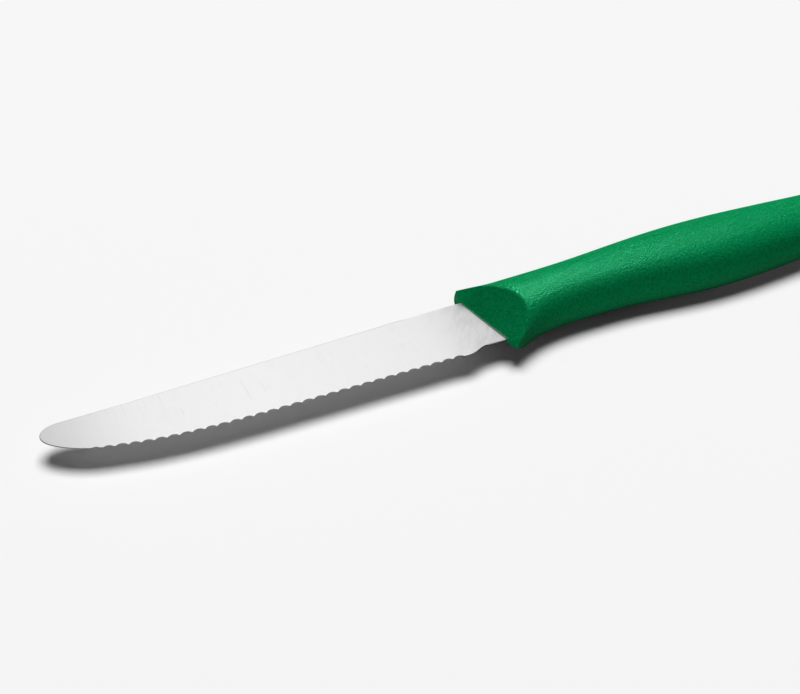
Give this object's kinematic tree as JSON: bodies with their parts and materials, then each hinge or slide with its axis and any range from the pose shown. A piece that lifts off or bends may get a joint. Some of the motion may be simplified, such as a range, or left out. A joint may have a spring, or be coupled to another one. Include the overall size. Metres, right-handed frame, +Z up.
{
  "type": "serrated table knife",
  "caption": "Round-tipped table knife with a scalloped steel blade for bread and soft food, set in a waisted handle of moulded plastic with a flared finger guard.",
  "frame": {"origin": "on the table, under the middle of the knife as it lies on its side", "axes": "+X runs from the tip to the butt, +Y from the cutting edge to the spine, and +Z is up"},
  "size_m": [0.2222, 0.0254, 0.0138],
  "materials": {
    "steel": "satin, ground across the blade",
    "green_plastic": "fine moulded grain"
  },
  "bodies": {
    "root": {"blade": "steel", "handle": "green_plastic"}
  },
  "joints": []
}
